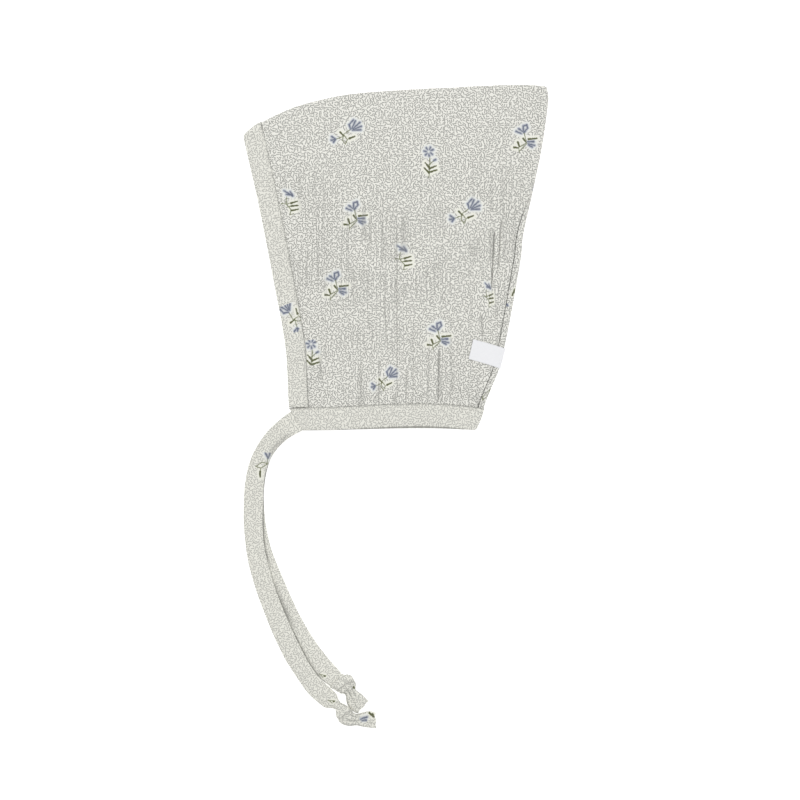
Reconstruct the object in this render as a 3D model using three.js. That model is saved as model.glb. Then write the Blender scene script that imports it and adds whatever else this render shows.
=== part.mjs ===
import * as THREE from 'three';

// Baby bonnet laid flat on its side: two cotton panels joined by one seam over the crown and down the
// back, a bound face edge, a neck band that runs out into two knotted ties, and a small folded label.
// Millimetres, Z up from the surface it lies on, X towards the back of the head, Y towards the crown.

// The cut of one panel, edge to edge
const crown_length = 182;
const face_height = 176;
const crown_rise = 30.5;
const neck_length = 113.5;
const neck_setback = 28;
const face_bow = 5.2;
const crown_bow = 15;
const back_bow = 4.5;

// Cloth walls and the gap between neighbours
const panel_wall = 1.2;
const binding_wall = 1;
const label_wall = 1;
const clearance = 0.3;

// Edges and the hollow for the head
const binding_width = 12;
const neck_band_width = 13.5;
const band_end_slant = 8;
const fold_gap = 0.6;
const hollow_height = 12;
const hollow_run = 45;
const mouth_height = 8;
const edge_margin = 9;
const sag_run = 14;
const seam_roll = 3.5;

// The folded label on the back seam
const label_width = 12.5;
const label_front_reach = 19.6;
const label_back_reach = 11;
const label_rise = 45;
const label_lean = 0.25;

// Ties, knots and tails
const tie_width = 11.4;
const tie_thickness = 2;
const knot_width = 12;
const knot_thickness = 8.4;
const tail_width = 11.2;
const tail_thickness = 3;

// How many faces each stretch of cloth is given
const across_steps = 24;
const up_steps = 14;
const near_roll_steps = 4;
const far_roll_steps = 7;
const crown_roll_steps = 4;
const fold_sides = 4;
const tie_sides = 8;
const tie_steps = 34;
const knot_sides = 12;
const label_steps = 4;

// Sizes that follow from those above
const outer_step = binding_wall + clearance;
const seam_gap = 2 * outer_step + fold_gap;
const rim = seam_gap / 2 + panel_wall;
const seam_level = Math.max(outer_step, label_wall + clearance) + rim;
const quarter_roll = rim * Math.PI / 2;
const fold_half = panel_wall / 2 + outer_step;
const slot_half = panel_wall / 2 + clearance;
const mouth_share = (mouth_height - seam_gap) / (hollow_height - seam_gap);
const flat_margin = Math.max(binding_width, neck_band_width, label_back_reach) + clearance;

// How each edge of the cut bows away from the straight line between its corners
const face_edge_bow = [
  { along: 0, bow: 0 },
  { along: 0.12, bow: 0.45 },
  { along: 0.28, bow: 1 },
  { along: 0.5, bow: 0.85 },
  { along: 0.78, bow: 0.5 },
  { along: 0.95, bow: 0.1 },
  { along: 1, bow: 0 },
];
const crown_edge_bow = [
  { along: 0, bow: 0 },
  { along: 0.066, bow: 0.46 },
  { along: 0.12, bow: 0.68 },
  { along: 0.19, bow: 0.88 },
  { along: 0.32, bow: 1 },
  { along: 0.42, bow: 0.96 },
  { along: 0.65, bow: 0.65 },
  { along: 0.91, bow: 0.26 },
  { along: 1, bow: 0 },
];
const back_edge_bow = [
  { along: 0, bow: 0 },
  { along: 0.07, bow: 0 },
  { along: 0.2, bow: 1.05 },
  { along: 0.5, bow: 1 },
  { along: 0.57, bow: 0.7 },
  { along: 0.79, bow: 0.97 },
  { along: 0.96, bow: 0.6 },
  { along: 1, bow: 0 },
];

// Where the back seam is rolled onto the near side, up from the neck
const seam_roll_share = [
  { along: 0, share: 1 },
  { along: 0.6, share: 1 },
  { along: 0.75, share: 0 },
  { along: 1, share: 0 },
];

// The main creases of the near panel: front-to-back places at their lower and upper ends, then the
// heights of those ends, all as shares of the panel, with depth and half width in millimetres
const creases = [
  { low_at: 0.53, high_at: 0.51, low: 0.1, high: 0.62, depth: 1.1, half_width: 3.2 },
  { low_at: 0.47, high_at: 0.45, low: 0.22, high: 0.4, depth: 0.7, half_width: 2.6 },
  { low_at: 0.9, high_at: 0.87, low: 0.42, high: 0.62, depth: 1.2, half_width: 2.8 },
  { low_at: 0.75, high_at: 0.7, low: 0.08, high: 0.27, depth: 1, half_width: 3 },
  { low_at: 0.16, high_at: 0.14, low: 0.14, high: 0.24, depth: 0.7, half_width: 2.8 },
  { low_at: 0.63, high_at: 0.61, low: 0.1, high: 0.32, depth: 0.7, half_width: 2.8 },
  { low_at: 0.33, high_at: 0.33, low: 0.46, high: 0.56, depth: 0.5, half_width: 2.6 },
];

// The value of a table's column at a place between its rows, on a smooth line through the rows
function tableValue(table, column, at) {
  const last = table.length - 1;
  let row = 0;
  while (row < last - 1 && at > table[row + 1].along) row += 1;
  const slope = (index) => {
    const before = table[Math.max(index - 1, 0)];
    const after = table[Math.min(index + 1, last)];
    return (after[column] - before[column]) / (after.along - before.along);
  };
  const span = table[row + 1].along - table[row].along;
  const t = THREE.MathUtils.clamp((at - table[row].along) / span, 0, 1);
  const rise = 3 * t * t - 2 * t * t * t;
  const leave = (t * t * t - 2 * t * t + t) * span * slope(row);
  const arrive = (t * t * t - t * t) * span * slope(row + 1);
  return table[row][column] * (1 - rise) + table[row + 1][column] * rise + leave + arrive;
}

// The four corners of the cut, with the face corner of the neck at the start
const corners = {
  neckFront: new THREE.Vector2(0, 0),
  neckBack: new THREE.Vector2(neck_length, 0),
  crownFront: new THREE.Vector2(-neck_setback, face_height),
  crownBack: new THREE.Vector2(crown_length - neck_setback, face_height + crown_rise),
};

// A point on an edge that bows to the side of its chord
function bowedEdge(from, to, bow, table, at) {
  const chord = to.clone().sub(from);
  const aside = new THREE.Vector2(-chord.y, chord.x).normalize();
  const bowed = bow * tableValue(table, 'bow', THREE.MathUtils.clamp(at, 0, 1));
  return from.clone().addScaledVector(chord, at).addScaledVector(aside, bowed);
}

const faceEdge = (v) => bowedEdge(corners.neckFront, corners.crownFront, -face_bow, face_edge_bow, v);
const backEdge = (v) => bowedEdge(corners.neckBack, corners.crownBack, -back_bow, back_edge_bow, v);
const crownEdge = (u) => bowedEdge(corners.crownFront, corners.crownBack, crown_bow, crown_edge_bow, u);
const neckEdge = (u) => corners.neckFront.clone().lerp(corners.neckBack, u);

// A point of the flat cut, u from the face edge to the back seam and v from the neck to the crown
function cutPoint(u, v) {
  const point = neckEdge(u).multiplyScalar(1 - v);
  point.addScaledVector(crownEdge(u), v);
  point.addScaledVector(faceEdge(v), 1 - u);
  point.addScaledVector(backEdge(v), u);
  point.addScaledVector(corners.neckFront, -(1 - u) * (1 - v));
  point.addScaledVector(corners.neckBack, -u * (1 - v));
  point.addScaledVector(corners.crownFront, -(1 - u) * v);
  point.addScaledVector(corners.crownBack, -u * v);
  return point;
}

const rowLength = (v) => backEdge(v).distanceTo(faceEdge(v));
const columnLength = (u) => crownEdge(u).distanceTo(neckEdge(u));

// The roll of cloth at the seam, by an arc counted from its outermost line, positive on the near side
function rollAt(arc) {
  const turned = THREE.MathUtils.clamp(arc, -quarter_roll, quarter_roll);
  return { angle: Math.PI / 2 - turned / rim, flat: Math.abs(arc - turned) };
}

const rollStart = quarter_roll + edge_margin - rim;
const seamArc = (v) => (quarter_roll + seam_roll - rim) * tableValue(seam_roll_share, 'share', v);

// The arc of a station on the roll at the back, t from the flat cloth to the seam's end of a panel
function backArc(near, t, v) {
  const side = near ? 1 : -1;
  return THREE.MathUtils.lerp(side * rollStart, seamArc(v) + side * clearance / 2, t);
}

function crownArc(near, t) {
  const side = near ? 1 : -1;
  return THREE.MathUtils.lerp(side * rollStart, side * clearance / 2, t);
}

// How far a point on a roll lies in from the edge, for cloth at a depth below the outer face
const rollInset = (roll, depth) => roll.flat + rim - (rim - depth) * Math.sin(roll.angle);

const eased = (distance, run) => Math.sin(THREE.MathUtils.clamp(distance / run, 0, 1) * Math.PI / 2);
const smooth = (distance, run) => THREE.MathUtils.smoothstep(distance, 0, run);
const fromMouth = (distance) => mouth_share + (1 - mouth_share) * eased(distance, hollow_run);

// How far a crease sinks the cloth at a place on the near panel
function creaseDepth(u, v, length) {
  let depth = 0;
  for (const crease of creases) {
    const along = (v - crease.low) / (crease.high - crease.low);
    const middle = THREE.MathUtils.lerp(crease.low_at, crease.high_at, along);
    const aside = (u - middle) * length / crease.half_width;
    const fade = Math.sin(Math.PI * THREE.MathUtils.clamp(along, 0, 1));
    depth += crease.depth * Math.sqrt(fade) * Math.exp(-aside * aside);
  }
  return depth;
}

// A point of the made-up cloth. Across is a distance from the face edge, a share of the width or a
// roll at the back seam; up is the same from the neck edge to the crown seam; depth is below the
// panel's outer face, and negative outside it.
function clothPoint(near, across, up, depth) {
  const flatAngle = near ? 0 : Math.PI;
  let u = 0.5;
  let v = 0.5;
  let acrossAngle = flatAngle;
  let upAngle = flatAngle;
  for (let pass = 0; pass < 3; pass += 1) {
    const height = columnLength(u);
    if (up.neck !== undefined) {
      v = up.neck / height;
    } else if (up.share !== undefined) {
      v = THREE.MathUtils.lerp(neck_band_width, height - edge_margin, up.share) / height;
    } else if (up.place !== undefined) {
      v = up.place;
    } else {
      const roll = rollAt(crownArc(near, up.crown));
      upAngle = roll.angle;
      v = 1 - rollInset(roll, depth) / height;
    }
    const width = rowLength(v);
    if (across.face !== undefined) {
      const corner = Math.max(0, 1 - v * height / neck_band_width) * (1 - across.face / binding_width);
      u = (across.face + band_end_slant * corner) / width;
    } else if (across.share !== undefined) {
      u = THREE.MathUtils.lerp(binding_width, width - edge_margin, across.share) / width;
    } else {
      const roll = rollAt(across.arc !== undefined ? across.arc : backArc(near, across.back, v));
      acrossAngle = roll.angle;
      u = 1 - rollInset(roll, depth) / width;
    }
  }
  const place = cutPoint(u, v);
  const bulge = (near ? 1 : -1) * Math.cos(acrossAngle) * Math.cos(upAngle);
  const width = rowLength(v);
  const height = columnLength(u);
  const fromFace = u * width;
  const fromBack = Math.max(0, (1 - u) * width);
  const fromNeck = Math.max(0, v * height);
  const fromCrown = Math.max(0, (1 - v) * height);
  let level = seam_level + (rim - depth) * bulge;
  if (bulge > 0) {
    const seams = eased(fromCrown, hollow_run) * eased(fromBack, hollow_run);
    const lift = seams * fromMouth(fromFace) * fromMouth(fromNeck);
    level += (hollow_height - seam_gap) * lift - creaseDepth(u, v, width);
  } else {
    const inside = (distance) => smooth(distance - flat_margin, sag_run);
    const sag = inside(fromFace) * inside(fromBack) * inside(fromNeck) * inside(fromCrown);
    level -= (seam_level - rim) * sag;
  }
  return new THREE.Vector3(place.x, place.y, level);
}

// Stations from the face edge to the seam, and from the neck edge to the crown, for one panel
function acrossStations(near, first) {
  const stations = [{ face: first }, { face: binding_width }];
  const rolls = near ? near_roll_steps : far_roll_steps;
  for (let i = 1; i <= across_steps; i += 1) stations.push({ share: i / across_steps });
  for (let i = 1; i <= rolls; i += 1) stations.push({ back: i / rolls });
  return stations;
}

function upStations(first) {
  const stations = [...first];
  for (let i = 1; i <= up_steps; i += 1) stations.push({ share: i / up_steps });
  for (let i = 1; i <= crown_roll_steps; i += 1) stations.push({ crown: i / crown_roll_steps });
  return stations;
}

// A mesh from corner points and triangles, turned so that its faces point out
function closedMesh(name, points, triangles, material) {
  let volume = 0;
  const cross = new THREE.Vector3();
  for (const [a, b, c] of triangles) volume += points[a].dot(cross.crossVectors(points[b], points[c]));
  const facing = volume < 0 ? triangles.map(([a, b, c]) => [a, c, b]) : triangles;
  const geometry = new THREE.BufferGeometry();
  geometry.setAttribute('position', new THREE.Float32BufferAttribute(points.flatMap((p) => p.toArray()), 3));
  geometry.setIndex(facing.flat());
  geometry.computeVertexNormals();
  const mesh = new THREE.Mesh(geometry, material);
  mesh.name = name;
  return mesh;
}

// A slab of cloth between two grids of points that have the same rows and columns
function slab(name, outer, inner, material) {
  const rows = outer.length;
  const columns = outer[0].length;
  const points = [...outer.flat(), ...inner.flat()];
  const at = (layer, row, column) => layer * rows * columns + row * columns + column;
  const triangles = [];
  const quad = (a, b, c, d) => triangles.push([a, b, c], [a, c, d]);
  for (let row = 0; row < rows - 1; row += 1) {
    for (let column = 0; column < columns - 1; column += 1) {
      quad(at(0, row, column), at(0, row, column + 1), at(0, row + 1, column + 1), at(0, row + 1, column));
      quad(at(1, row, column), at(1, row + 1, column), at(1, row + 1, column + 1), at(1, row, column + 1));
    }
  }
  for (let row = 0; row < rows - 1; row += 1) {
    const end = columns - 1;
    quad(at(0, row, 0), at(0, row + 1, 0), at(1, row + 1, 0), at(1, row, 0));
    quad(at(0, row, end), at(1, row, end), at(1, row + 1, end), at(0, row + 1, end));
  }
  for (let column = 0; column < columns - 1; column += 1) {
    const end = rows - 1;
    quad(at(0, 0, column), at(1, 0, column), at(1, 0, column + 1), at(0, 0, column + 1));
    quad(at(0, end, column), at(0, end, column + 1), at(1, end, column + 1), at(1, end, column));
  }
  return closedMesh(name, points, triangles, material);
}

// A solid with the same outline at every station, its two ends closed by the outline's own faces
function sweep(name, stations, outline, material) {
  const sides = outline.length;
  const points = stations.flat();
  const triangles = [];
  for (let station = 0; station < stations.length - 1; station += 1) {
    for (let side = 0; side < sides; side += 1) {
      const next = (side + 1) % sides;
      const here = station * sides;
      const there = here + sides;
      triangles.push([here + side, here + next, there + next], [here + side, there + next, there + side]);
    }
  }
  const end = (stations.length - 1) * sides;
  const turn = Math.sign(THREE.ShapeUtils.area(outline));
  for (const [a, b, c] of THREE.ShapeUtils.triangulateShape(outline, [])) {
    const [first, last] = turn > 0 ? [b, c] : [c, b];
    triangles.push([a, last, first], [end + a, end + first, end + last]);
  }
  return closedMesh(name, points, triangles, material);
}

// The section of cloth folded over an edge: x in from the fold, y the depth below the panel's face
function foldedOutline(width) {
  const outline = [];
  const middle = panel_wall / 2;
  outline.push(new THREE.Vector2(width, middle - fold_half));
  for (let i = 0; i <= fold_sides; i += 1) {
    const turn = Math.PI * i / fold_sides;
    const inwards = fold_half * (1 - Math.sin(turn));
    outline.push(new THREE.Vector2(inwards, middle - fold_half * Math.cos(turn)));
  }
  outline.push(new THREE.Vector2(width, middle + fold_half));
  outline.push(new THREE.Vector2(width, middle + slot_half));
  outline.push(new THREE.Vector2(fold_half, middle + slot_half));
  outline.push(new THREE.Vector2(fold_half - slot_half, middle));
  outline.push(new THREE.Vector2(fold_half, middle - slot_half));
  outline.push(new THREE.Vector2(width, middle - slot_half));
  return outline;
}

function cloth(colour, roughness) {
  return new THREE.MeshStandardMaterial({ color: colour, roughness, metalness: 0 });
}

// One side panel: a wall of cloth that turns over into the seam at the crown and the back
function sidePanel(name, near) {
  const grid = (depth) => upStations([{ neck: fold_half }, { neck: neck_band_width }]).map(
    (up) => acrossStations(near, fold_half).map((across) => clothPoint(near, across, up, depth)),
  );
  return slab(name, grid(0), grid(panel_wall), cloth(0xcfcec9, 0.92));
}

// The binding folded over the face edge, up the near side, round the crown and down the far side
function frontBinding() {
  const outline = foldedOutline(binding_width);
  const ups = upStations([{ neck: neck_band_width + clearance }]);
  const section = (near, up) => outline.map((at) => clothPoint(near, { face: at.x }, up, at.y));
  const nearSide = ups.map((up) => section(true, up));
  const farSide = ups.map((up) => section(false, up)).reverse();
  return sweep('front_binding', [...nearSide, ...farSide], outline, cloth(0xd6d6cf, 0.9));
}

// The band folded over the neck edge, back along the near side, round the nape and forward again
function neckBand() {
  const outline = foldedOutline(neck_band_width);
  const section = (near, across) => outline.map((at) => clothPoint(near, across, { neck: at.x }, at.y));
  const nearSide = acrossStations(true, 0).map((across) => section(true, across));
  const farSide = acrossStations(false, 0).map((across) => section(false, across)).reverse();
  return sweep('neck_band', [...nearSide, ...farSide], outline, cloth(0xd6d6cf, 0.9));
}

// A strip of white tape folded round the back seam, square to the slanting edge
function label() {
  const height = columnLength(1);
  const arcs = [];
  const quarterSteps = 3;
  for (let i = 0; i <= label_steps; i += 1) {
    arcs.push(THREE.MathUtils.lerp(label_front_reach - rim + quarter_roll, quarter_roll, i / label_steps));
  }
  for (let i = 1; i <= 2 * quarterSteps; i += 1) arcs.push(quarter_roll * (1 - i / quarterSteps));
  arcs.push(-(quarter_roll + (label_back_reach - rim) / 2));
  arcs.push(-(quarter_roll + label_back_reach - rim));
  const grid = (depth) => [0, 1, 2, 3].map((line) => arcs.map((arc) => {
    const inset = rollInset(rollAt(arc), depth);
    const aside = (line / 3 - 0.5) * label_width;
    const place = (label_rise + aside + inset * label_lean) / height;
    return clothPoint(arc > 0, { arc }, { place }, depth);
  }));
  return slab('label', grid(-clearance - label_wall), grid(-clearance), cloth(0xf4f4f1, 0.7));
}

// The lie of each tie on the surface, from the neck band's end to its knot
const near_tie_route = [
  [-60, -98.4, 9.7], [-64.8, -101.4, 9.3], [-70.2, -105.6, 7.8], [-75.3, -111, 5.8],
  [-79.8, -117.9, 4.2], [-83.1, -126, 3.5], [-84.8, -135.3, 3.4], [-85.5, -146.7, 3.4],
  [-85.6, -160.5, 3.4], [-84.4, -174.3, 3.4], [-81.9, -186.3, 3.4], [-78.6, -197.7, 3.4],
  [-74.7, -208.5, 3.4], [-70.2, -219.6, 3.4], [-65.2, -230.7, 3.4], [-60, -240.9, 3.4],
  [-54.3, -249.9, 3.4], [-48.3, -257.7, 3.5], [-41.6, -263.8, 3.8], [-38.3, -266.2, 4.1],
];
const far_tie_route = [
  [-60, -98.4, 1.9], [-64.8, -101.4, 1.8], [-70.2, -105.6, 1.5], [-75.3, -111, 1.2],
  [-79.8, -117.9, 1.1], [-82.9, -126, 1.1], [-84.5, -135.3, 1.1], [-84.9, -146.7, 1.1],
  [-83.8, -160.5, 1.1], [-80.8, -174.3, 1.1], [-76.3, -186.3, 1.1], [-71.5, -197.7, 1.1],
  [-66.4, -209.7, 1.1], [-61, -220.5, 1.1], [-54.9, -230.7, 1.1], [-48.5, -239.7, 1.5],
  [-42.3, -247.2, 2.6], [-38.4, -251, 3.7],
];

// Each knot in plan, with the height of its middle, on to the end of its short tail
const near_knot_route = [
  [-36.9, -267.6, 4.3], [-34.6, -270.8, 4.3], [-31.2, -274.4, 4.3], [-27.4, -276, 4],
  [-24.6, -276.3, 3.2], [-21, -276.4, 2.4], [-16, -276.6, 2], [-11.2, -276.8, 1.8],
];
const far_knot_route = [
  [-37.4, -251.8, 4], [-34.6, -253.6, 4.3], [-30.6, -255.8, 4.3], [-27.6, -258, 4],
  [-26, -260, 3.2], [-24.2, -262.4, 2.4], [-21.6, -265.4, 2], [-19.8, -267.4, 1.8],
];

// The swell of a knot and the spread of its tail along that route, as shares of the knot's and the
// tail's own widths and thicknesses
const knot_sections = [
  { along: 0, knot_wide: 0.66, knot_thick: 0.36, tail_wide: 0, tail_thick: 0 },
  { along: 0.12, knot_wide: 0.92, knot_thick: 0.86, tail_wide: 0, tail_thick: 0 },
  { along: 0.27, knot_wide: 1, knot_thick: 1, tail_wide: 0, tail_thick: 0 },
  { along: 0.41, knot_wide: 0.78, knot_thick: 0.86, tail_wide: 0, tail_thick: 0 },
  { along: 0.5, knot_wide: 0.24, knot_thick: 0.3, tail_wide: 0.32, tail_thick: 0.5 },
  { along: 0.68, knot_wide: 0, knot_thick: 0, tail_wide: 0.84, tail_thick: 1 },
  { along: 0.88, knot_wide: 0, knot_thick: 0, tail_wide: 1, tail_thick: 0.9 },
  { along: 1, knot_wide: 0, knot_thick: 0, tail_wide: 0.86, tail_thick: 0.7 },
];

const routeCurve = (route) => new THREE.CatmullRomCurve3(route.map((at) => new THREE.Vector3(...at)));

// A flat oval, thin along x and wide along y
function flatOval(width, thickness, sides) {
  const outline = [];
  for (let i = 0; i < sides; i += 1) {
    const turn = 2 * Math.PI * (i + 0.5) / sides;
    const grown = 1 / Math.cos(Math.PI / sides);
    const thin = thickness / 2 * Math.cos(turn) * grown;
    outline.push(new THREE.Vector2(thin, width / 2 * Math.sin(turn) * grown));
  }
  return outline;
}

function tie(name, route) {
  const section = new THREE.Shape(flatOval(tie_width, tie_thickness, tie_sides));
  const geometry = new THREE.ExtrudeGeometry(section, { steps: tie_steps, extrudePath: routeCurve(route) });
  const mesh = new THREE.Mesh(geometry, cloth(0xd6d5cd, 0.9));
  mesh.name = name;
  return mesh;
}

// A knot pulled small in the end of a tie, and the cloth that flares out of it
function knot(name, route) {
  const curve = routeCurve(route);
  const up = new THREE.Vector3(0, 0, 1);
  const outline = flatOval(1, 1, knot_sides);
  const stations = knot_sections.map((row) => {
    const middle = curve.getPointAt(row.along);
    const aside = new THREE.Vector3().crossVectors(up, curve.getTangentAt(row.along)).normalize();
    const width = row.knot_wide * knot_width + row.tail_wide * tail_width;
    const thickness = row.knot_thick * knot_thickness + row.tail_thick * tail_thickness;
    return outline.map((at) => middle.clone().addScaledVector(up, at.x * thickness)
      .addScaledVector(aside, at.y * width));
  });
  return sweep(name, stations, outline, cloth(0xd2d1c9, 0.9));
}

const cloth_body = new THREE.Group();
cloth_body.add(sidePanel('side_panel_near', true));
cloth_body.add(sidePanel('side_panel_far', false));
cloth_body.add(frontBinding());
cloth_body.add(neckBand());
cloth_body.add(label());

// The middle of the bonnet without its ties stands over the origin
const middle = new THREE.Box3().setFromObject(cloth_body, true).getCenter(new THREE.Vector3());
cloth_body.position.set(-middle.x, -middle.y, 0);

const group = new THREE.Group();
group.add(cloth_body);
group.add(tie('tie_near', near_tie_route));
group.add(tie('tie_far', far_tie_route));
group.add(knot('knot_near', near_knot_route));
group.add(knot('knot_far', far_knot_route));

export default group;
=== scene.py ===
import bpy
import numpy as np
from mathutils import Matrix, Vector


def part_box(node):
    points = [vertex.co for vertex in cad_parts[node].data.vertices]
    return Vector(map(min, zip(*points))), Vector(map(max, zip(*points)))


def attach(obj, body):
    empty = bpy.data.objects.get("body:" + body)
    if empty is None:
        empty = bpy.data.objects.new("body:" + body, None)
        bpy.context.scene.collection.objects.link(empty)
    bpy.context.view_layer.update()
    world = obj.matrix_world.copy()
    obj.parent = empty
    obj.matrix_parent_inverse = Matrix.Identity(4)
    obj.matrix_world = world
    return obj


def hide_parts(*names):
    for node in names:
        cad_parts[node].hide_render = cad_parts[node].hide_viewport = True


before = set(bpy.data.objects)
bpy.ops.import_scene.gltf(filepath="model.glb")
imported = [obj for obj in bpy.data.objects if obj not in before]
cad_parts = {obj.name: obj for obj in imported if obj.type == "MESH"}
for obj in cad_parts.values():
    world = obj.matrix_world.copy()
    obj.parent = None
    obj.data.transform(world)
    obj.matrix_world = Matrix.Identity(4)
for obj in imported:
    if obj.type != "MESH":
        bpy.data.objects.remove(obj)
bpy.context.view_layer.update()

# The view, the floor and the lights
# The bonnet lies on a plain pale surface and is seen from straight above. The light is wide and soft,
# with a brighter lamp at the upper left that brings out the crinkle and a weak one at the right.
PIXEL = 0.0006
PICTURE_WIDTH = 800
VIEW_MIDDLE = (0.0024, -0.0855)
VIEW_HEIGHT = 3.0
VIEW_END = 20.0
SENSOR = 36.0
WHITE = (1, 1, 1, 1)
FLOOR_REACH = 3.0
FLOOR_LEVEL = -0.0001
FLOOR_COLOUR = (0.93, 0.93, 0.93, 1)
FLOOR_GLOW = 0.52
LIGHT_SIZE = 0.8
SIDE_LIGHT_AT = (-0.75, 0.36, 2.2)
SIDE_LIGHT_POWER = 16.5
FILL_LIGHT_AT = (0.9, 0.1, 1.8)
FILL_LIGHT_POWER = 7.5
ROOM_LIGHT = 0.58


def in_scene(name, data):
    made = bpy.data.objects.new(name, data)
    bpy.context.scene.collection.objects.link(made)
    return made


def new_material(name, looks):
    """A material, its node tree and its shader, whose inputs are set from a table of looks."""
    made = bpy.data.materials.new(name)
    made.use_nodes = True
    shader = made.node_tree.nodes["Principled BSDF"]
    for title, value in looks.items():
        shader.inputs[title].default_value = value
    return made, made.node_tree, shader


eye = bpy.data.cameras.new("camera")
eye.sensor_width = SENSOR
eye.lens = SENSOR * VIEW_HEIGHT / (PIXEL * PICTURE_WIDTH)
eye.clip_end = VIEW_END
camera = in_scene("camera", eye)
camera.location = (*VIEW_MIDDLE, VIEW_HEIGHT)
bpy.context.scene.camera = camera
bpy.context.scene.view_settings.view_transform = "Standard"

floor_mesh = bpy.data.meshes.new("floor")
floor_corners = [(-1, -1), (1, -1), (1, 1), (-1, 1)]
floor_points = [(FLOOR_REACH * x, FLOOR_REACH * y, FLOOR_LEVEL) for x, y in floor_corners]
floor_mesh.from_pydata(floor_points, [], [(0, 1, 2, 3)])
floor = in_scene("floor", floor_mesh)
floor_paint, _, _ = new_material("pale floor", {
    "Base Color": FLOOR_COLOUR, "Roughness": 0.9, "Specular IOR Level": 0.1,
    "Emission Color": WHITE, "Emission Strength": FLOOR_GLOW})
floor_mesh.materials.append(floor_paint)

room = bpy.data.worlds.new("studio")
room.use_nodes = True
room.node_tree.nodes["Background"].inputs["Color"].default_value = WHITE
room.node_tree.nodes["Background"].inputs["Strength"].default_value = ROOM_LIGHT
bpy.context.scene.world = room

for lamp_name, lamp_at, power in (
        ("side light", SIDE_LIGHT_AT, SIDE_LIGHT_POWER), ("fill light", FILL_LIGHT_AT, FILL_LIGHT_POWER)):
    lamp = bpy.data.lights.new(lamp_name, "AREA")
    lamp.shape = "DISK"
    lamp.size = LIGHT_SIZE
    lamp.energy = power
    lamp_object = in_scene(lamp_name, lamp)
    lamp_object.location = lamp_at
    lamp_object.rotation_euler = (-Vector(lamp_at)).to_track_quat("-Z", "Y").to_euler()

# The two ties
# Each tie is the end of the neck band's own strip: cotton folded in four to a flat tape 11.4 mm wide
# and stitched along one edge. The far tie lies on the surface and the near tie lies over it.
MM = 0.001
FULL_TURN = 2 * np.pi
LATTICE = 256
LOWEST = 0.02
TIE_WIDTH = 11.4
TIE_THICKNESS = 2.0
TIE_ROOT_WIDTH = 13.2
TIE_ROOT_RUN = 16.0
TIE_TUCK = 2.4
KNOT_TUCK = 4.0
KNOT_PINCH_RUN = 6.0
TIE_RINGS = 190
TIE_SIDES = 32
TIE_STITCH_IN = 1.5
TIE_EDGE_ROUND = 0.55
TIE_FACE_ROUND = 0.62
TIE_UNEVEN = 0.5
TIE_DENT = 0.34
TIE_PUFF = 0.16
TIE_PULL = 0.16
TIE_LOWEST = 0.05
TIE_DROOP = 2.0
TIE_DROOP_RUN = 50.0
FOLD_SHADE = 0.3
FOLD_SHADE_WIDTH = 3.4
CONTACT_SHADE = 0.75
CONTACT_REACH = 0.8
SPRIG_SHEET_STEP = 60.0
NO_SPRIG = 900.0

near_tie_route = np.array([
    [-60, -98.4, 9.7], [-64.8, -101.4, 9.3], [-70.2, -105.6, 7.8], [-75.3, -111, 5.8],
    [-79.8, -117.9, 4.2], [-83.1, -126, 3.5], [-84.8, -135.3, 3.4], [-85.5, -146.7, 3.4],
    [-85.6, -160.5, 3.4], [-84.4, -174.3, 3.4], [-81.9, -186.3, 3.4], [-78.6, -197.7, 3.4],
    [-74.7, -208.5, 3.4], [-70.2, -219.6, 3.4], [-65.2, -230.7, 3.4], [-60, -240.9, 3.4],
    [-54.3, -249.9, 3.4], [-48.3, -257.7, 3.5], [-41.6, -263.8, 3.8], [-38.3, -266.2, 4.1],
])
far_tie_route = np.array([
    [-60, -98.4, 1.9], [-64.8, -101.4, 1.8], [-70.2, -105.6, 1.5], [-75.3, -111, 1.2],
    [-79.8, -117.9, 1.1], [-82.9, -126, 1.1], [-84.5, -135.3, 1.1], [-84.9, -146.7, 1.1],
    [-83.8, -160.5, 1.1], [-80.8, -174.3, 1.1], [-76.3, -186.3, 1.1], [-71.5, -197.7, 1.1],
    [-66.4, -209.7, 1.1], [-61, -220.5, 1.1], [-54.9, -230.7, 1.1], [-48.5, -239.7, 1.5],
    [-42.3, -247.2, 2.6], [-38.4, -251, 3.7],
])


def through_rows(place, value, at):
    """The smooth line through a table's rows: between two rows the cubic whose slope at each row is
    the slope between that row's two neighbours."""
    place, value = np.asarray(place, float), np.asarray(value, float)
    last = len(place) - 1
    rows = np.arange(last + 1)
    before = np.maximum(rows - 1, 0)
    after = np.minimum(rows + 1, last)
    slope = (value[after] - value[before]) / (place[after] - place[before])
    row = np.clip(np.searchsorted(place, at, side="left") - 1, 0, last - 1)
    span = place[row + 1] - place[row]
    t = np.clip((at - place[row]) / span, 0, 1)
    rise = t * t * (3 - 2 * t)
    leave = (t**3 - 2 * t**2 + t) * span * slope[row]
    arrive = (t**3 - t**2) * span * slope[row + 1]
    return value[row] * (1 - rise) + value[row + 1] * rise + leave + arrive


def ease(distance, run):
    """From 0 to 1 over a run, flat at both ends: 3tt - 2ttt."""
    t = np.clip(distance / run, 0, 1)
    return t * t * (3 - 2 * t)


def crumple(x, y, wide, long, seed):
    """Unevenness between -1 and 1: seeded heights in columns of a width, one for each length along
    them, eased between. Each column starts at its own place, so that no row runs across."""
    draw = np.random.default_rng(seed)
    heights = draw.uniform(-1, 1, (LATTICE, LATTICE))
    starts = draw.uniform(0, 1, LATTICE)
    column = np.floor(x / wide).astype(int)
    s = ease(x / wide - column, 1)

    def height(right):
        own = (column + right) % LATTICE
        place = y / long + starts[own]
        row = np.floor(place).astype(int)
        t = ease(place - row, 1)
        return heights[own, row % LATTICE] * (1 - t) + heights[own, (row + 1) % LATTICE] * t

    return height(0) * (1 - s) + height(1) * s


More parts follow.
